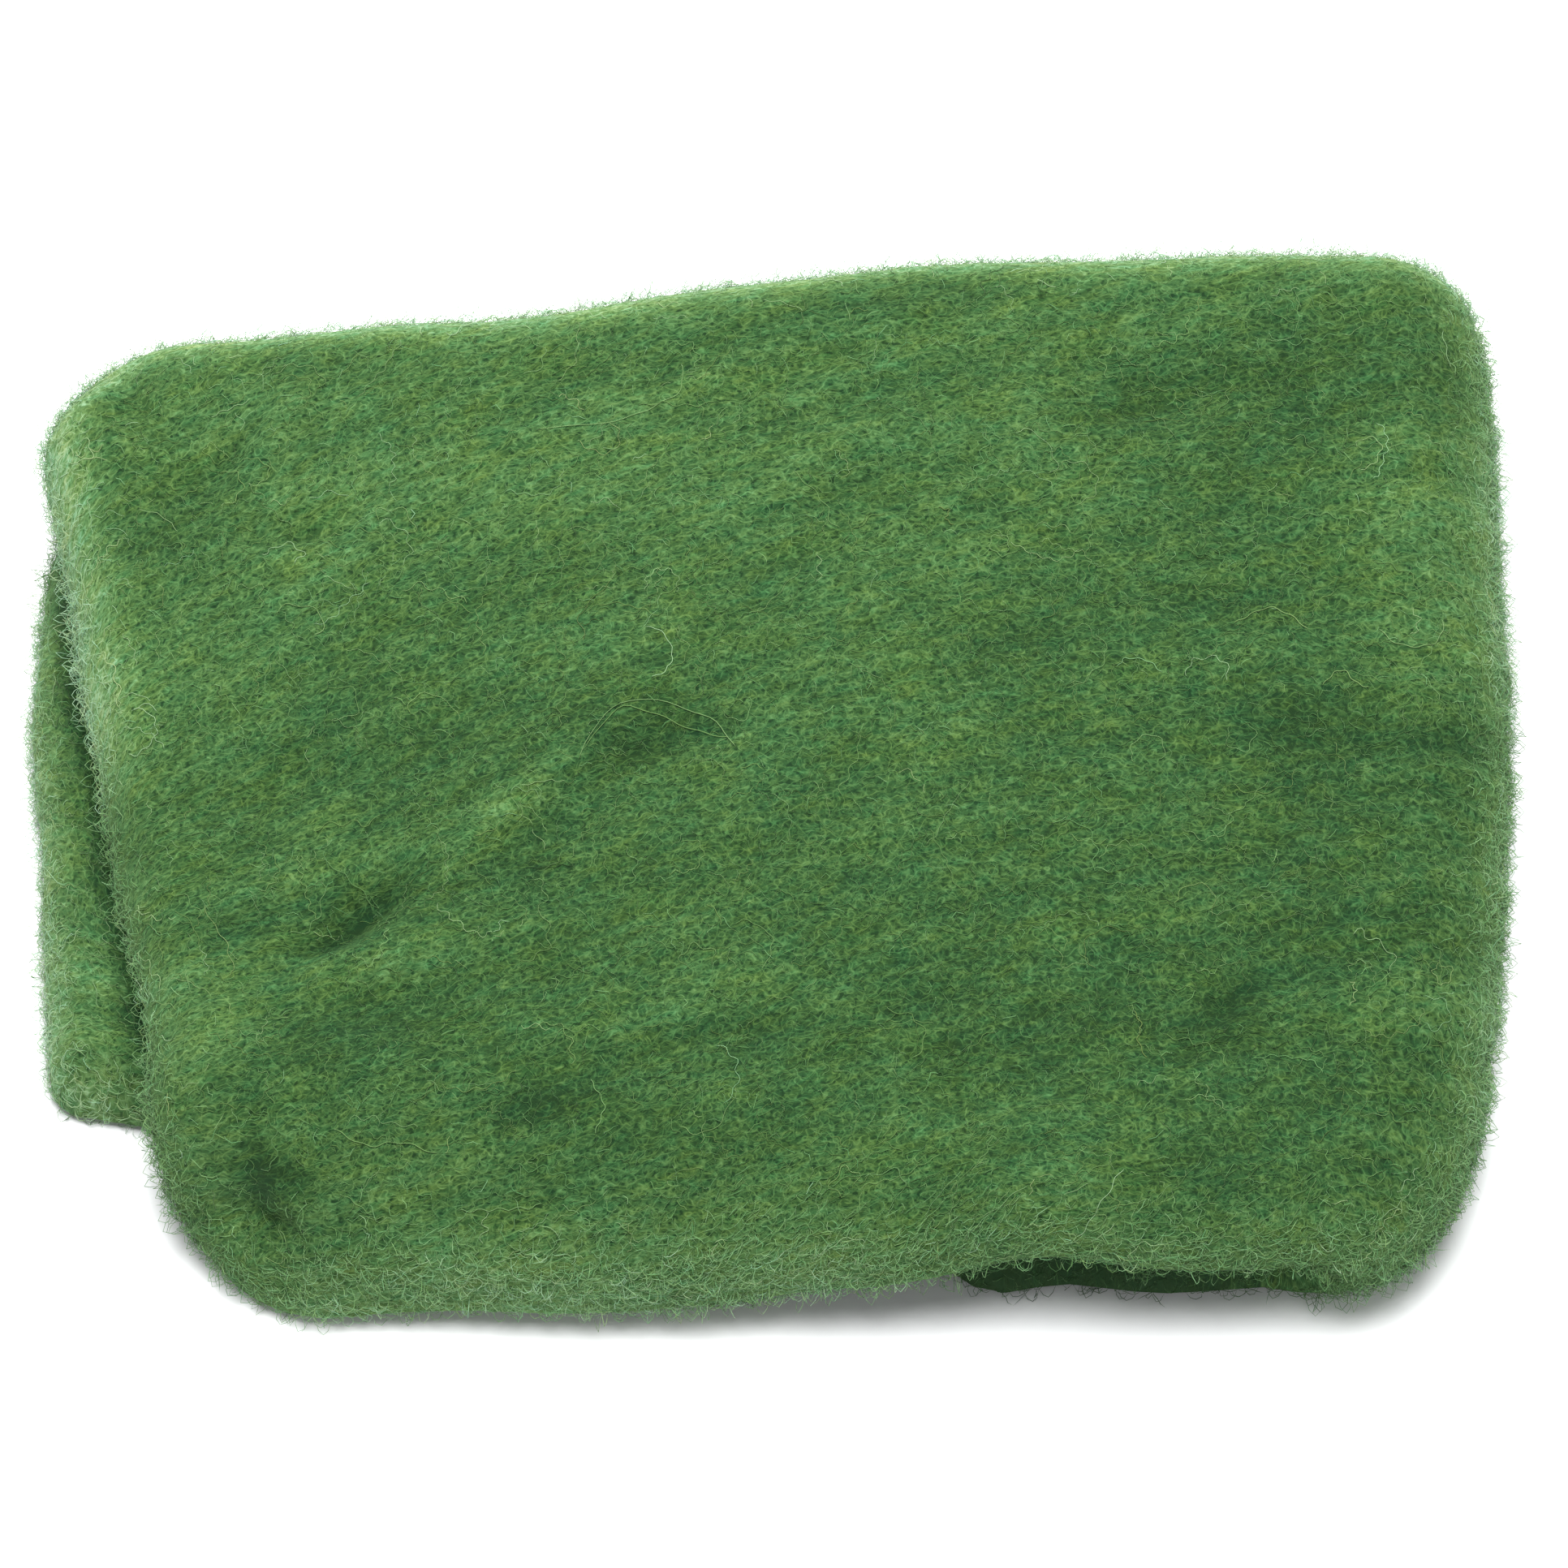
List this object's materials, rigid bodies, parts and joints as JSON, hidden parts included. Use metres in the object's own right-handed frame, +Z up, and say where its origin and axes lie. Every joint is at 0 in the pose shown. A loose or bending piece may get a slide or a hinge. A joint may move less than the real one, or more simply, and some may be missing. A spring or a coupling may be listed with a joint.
{
  "type": "folded carded wool batt",
  "caption": "Batt of carded wool folded once into a soft slab, with the lower layer showing past the upper one at one side.",
  "frame": {"origin": "centre of the bounding box at the level of the surface the batt lies on", "axes": "+X along the folded batt towards the fold, +Y from its front edge to its back edge, +Z up"},
  "size_m": [0.2826, 0.2154, 0.0457],
  "materials": {
    "wool": "matt carded wool, dyed green, with lighter and yellower fibres among darker ones"
  },
  "bodies": {
    "root": {"batt": "wool"}
  },
  "joints": []
}
